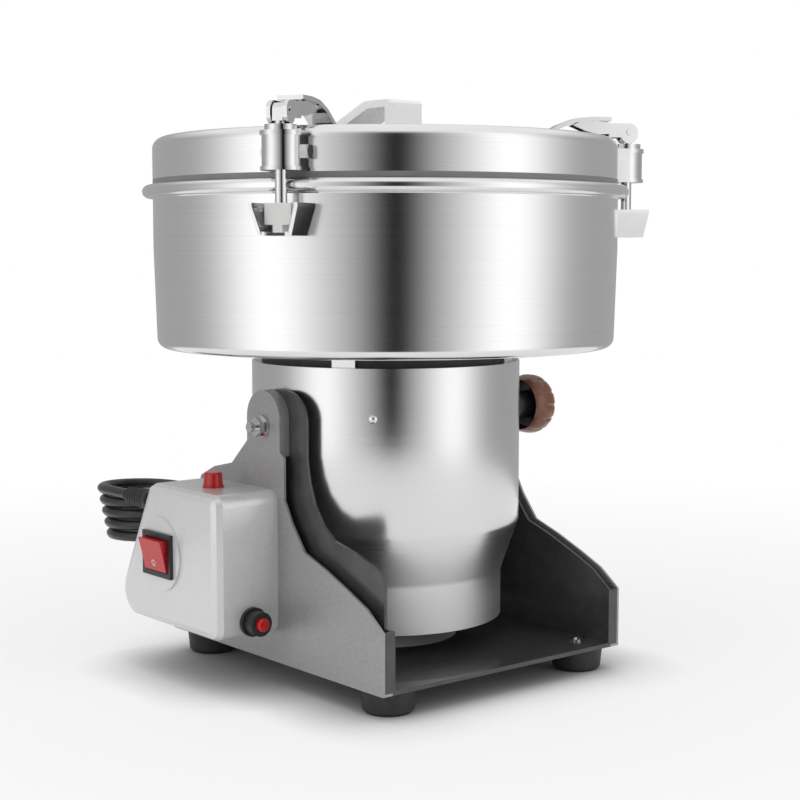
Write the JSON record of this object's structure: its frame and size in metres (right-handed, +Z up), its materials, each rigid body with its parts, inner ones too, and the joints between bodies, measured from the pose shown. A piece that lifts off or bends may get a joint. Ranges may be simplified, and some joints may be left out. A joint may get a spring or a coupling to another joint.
{
  "type": "electric grain mill",
  "caption": "Tilting electric grain mill: latched round grinding bowl with lid on a motor housing, pivoted in a floor frame with a side control box and mains lead.",
  "frame": {"origin": "on the resting plane under the middle of the outline", "axes": "+Z up, -Y to the open front that the bowl tips towards, -X to the control box"},
  "size_m": [0.2946, 0.3082, 0.3417],
  "materials": {
    "frame_paint": "dark satin powder coat",
    "hammered_grey": "silver-grey hammered paint",
    "box_paint": "light silver paint",
    "bright_steel": "polished steel",
    "brushed_steel": "stainless steel brushed round the axis",
    "blade_steel": "ground steel",
    "machined_steel": "machined steel",
    "cast_aluminium": "die-cast aluminium",
    "winding_core": "laminated iron with windings",
    "copper": "copper alloy",
    "rubber": "matt black rubber",
    "black_plastic": "black plastic",
    "nylon": "natural nylon",
    "red_plastic": "glossy red plastic",
    "red_lens": "translucent red lens",
    "grey_plastic": "light grey plastic",
    "brown_bakelite": "brown bakelite",
    "brass": "brass"
  },
  "bodies": {
    "frame": {"base_frame": "frame_paint", "left_cover": "hammered_grey", "right_cover": "hammered_grey", "cover_standoffs": "bright_steel", "rubber_feet": "rubber", "foot_screws": "bright_steel", "pivot_bushes": "nylon", "control_box": "box_paint", "switch_frame": "black_plastic", "pilot_lamp": "red_lens", "breaker_body": "black_plastic", "cord_gland": "rubber", "cord_lead": "rubber", "cord_coil": "rubber", "cord_tail": "rubber", "plug_body": "rubber", "plug_pins": "brass"},
    "tilting_body": {"motor_housing": "brushed_steel", "motor_top_plate": "machined_steel", "end_cover": "black_plastic", "upper_bearing": "machined_steel", "lower_bearing": "machined_steel", "upper_bearing_carrier": "cast_aluminium", "lower_bearing_carrier": "cast_aluminium", "stator": "winding_core", "brush_holders": "copper", "gap_ring": "rubber", "bowl_spacers": "bright_steel", "bowl": "brushed_steel", "shaft_seal": "rubber", "latch_brackets": "bright_steel", "pivot_studs": "bright_steel", "pivot_nuts": "bright_steel", "knob_washer": "bright_steel"},
    "rotor": {"motor_shaft": "blade_steel", "rotor_core": "winding_core", "commutator": "copper", "cooling_fan": "black_plastic", "lower_blade": "blade_steel", "upper_blade": "blade_steel", "blade_spacer": "blade_steel", "blade_nut": "blade_steel"},
    "lid": {"lid_shell": "brushed_steel", "lid_inner": "brushed_steel", "lid_gasket": "rubber", "lid_handle": "grey_plastic", "handle_screws": "bright_steel", "latch_housings": "bright_steel", "latch_washers": "bright_steel", "latch_cross_bolts": "bright_steel", "latch_rod_1": "bright_steel", "latch_rod_2": "bright_steel", "latch_rod_3": "bright_steel"},
    "lever_1": {"latch_lever_1": "bright_steel"},
    "lever_2": {"latch_lever_2": "bright_steel"},
    "lever_3": {"latch_lever_3": "bright_steel"},
    "rocker": {"switch_rocker": "red_plastic"},
    "reset": {"reset_button": "red_plastic"},
    "knob": {"lock_knob": "brown_bakelite"}
  },
  "joints": [
    {"name": "body_tilt", "type": "hinge", "parent": "frame", "child": "tilting_body", "pos_m": [0, -0.00785, 0.151], "axis": [1, 0, 0], "range_deg": [0, 45]},
    {"name": "rotor_spin", "type": "hinge", "parent": "tilting_body", "child": "rotor", "pos_m": [0, -0.00785, 0.1], "axis": [0, 0, 1], "continuous": true},
    {"name": "lid_lift", "type": "slide", "parent": "tilting_body", "child": "lid", "axis": [0, 0, 1], "range_m": [0, 0.06]},
    {"name": "latch_lever_hinge_1", "type": "hinge", "parent": "lid", "child": "lever_1", "pos_m": [-0.1312, -0.0836, 0.325], "axis": [0.5, -0.866, 0], "range_deg": [0, 100]},
    {"name": "latch_lever_hinge_2", "type": "hinge", "parent": "lid", "child": "lever_2", "pos_m": [0.1312, -0.0836, 0.325], "axis": [0.5, 0.866, 0], "range_deg": [0, 100]},
    {"name": "latch_lever_hinge_3", "type": "hinge", "parent": "lid", "child": "lever_3", "pos_m": [0, 0.14365, 0.325], "axis": [-1, 0, 0], "range_deg": [0, 100]},
    {"name": "rocker_tilt", "type": "hinge", "parent": "frame", "child": "rocker", "pos_m": [-0.1359, 0.03715, 0.0745], "axis": [0, 1, 0], "range_deg": [0, 12]},
    {"name": "reset_press", "type": "slide", "parent": "frame", "child": "reset", "axis": [0, 1, 0], "range_m": [0, 0.0025], "stiffness_N_per_m": 400, "springref_m": -0.002},
    {"name": "knob_turn", "type": "hinge", "parent": "tilting_body", "child": "knob", "pos_m": [0, -0.00785, 0.151], "axis": [1, 0, 0], "range_deg": [0, 180]}
  ]
}
